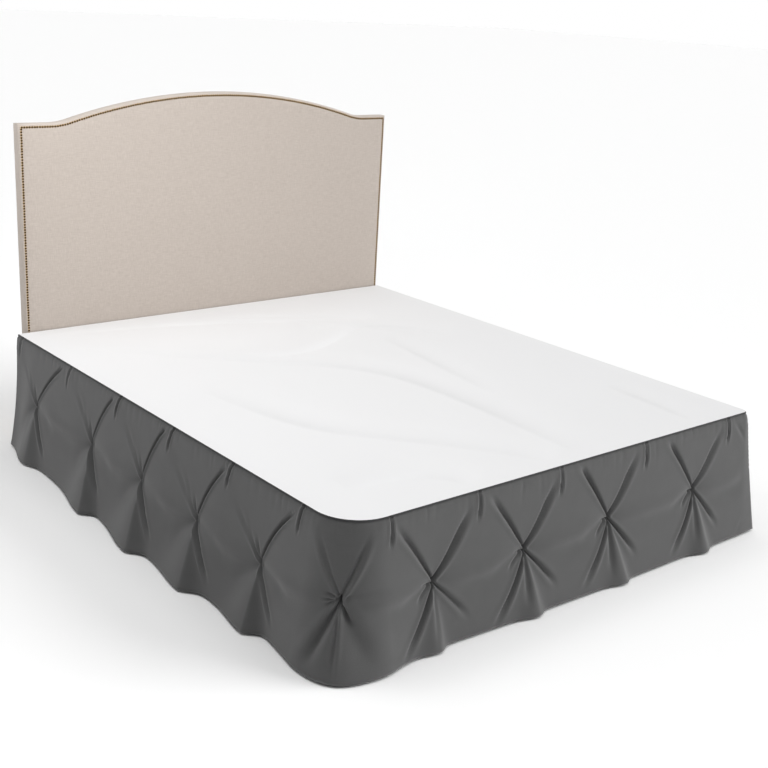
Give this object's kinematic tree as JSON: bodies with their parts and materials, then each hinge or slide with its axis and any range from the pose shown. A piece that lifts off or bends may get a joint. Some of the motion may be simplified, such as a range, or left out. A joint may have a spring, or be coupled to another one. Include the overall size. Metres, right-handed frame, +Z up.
{
  "type": "bed skirt on bed",
  "caption": "Pinch-pleated bed skirt on a bed: a charcoal drop hangs from a flat white deck round the sides and foot, below a camelback upholstered headboard with nailhead trim.",
  "frame": {"origin": "on the floor below the middle of the deck", "axes": "+Z up; +Y from the foot of the bed to its head; +X to the right of someone who stands at the foot and looks at the headboard"},
  "size_m": [2.0719, 2.2973, 1.393],
  "materials": {
    "charcoal_microfibre": "matt brushed microfibre with a soft nap",
    "white_deck_cloth": "matt plain-woven polyester cotton",
    "ticking": "matt woven ticking",
    "dark_steel": "dark powder coat",
    "beige_linen": "woven linen with slubs",
    "pine": "planed and unfinished",
    "antique_brass": "antique, worn bright on the domes"
  },
  "bodies": {
    "root": {"drop": "charcoal_microfibre", "deck": "white_deck_cloth", "box_spring": "ticking", "rail_left": "dark_steel", "rail_right": "dark_steel", "rail_head": "dark_steel", "rail_foot": "dark_steel", "rail_centre": "dark_steel", "leg_head_left": "dark_steel", "leg_head_right": "dark_steel", "leg_foot_left": "dark_steel", "leg_foot_right": "dark_steel", "leg_mid_head": "dark_steel", "leg_mid_foot": "dark_steel", "bracket_left": "dark_steel", "bracket_right": "dark_steel", "headboard": "beige_linen", "headboard_leg_left": "pine", "headboard_leg_right": "pine", "nail_trim_left": "antique_brass", "nail_trim_top": "antique_brass", "nail_trim_right": "antique_brass"}
  },
  "joints": []
}
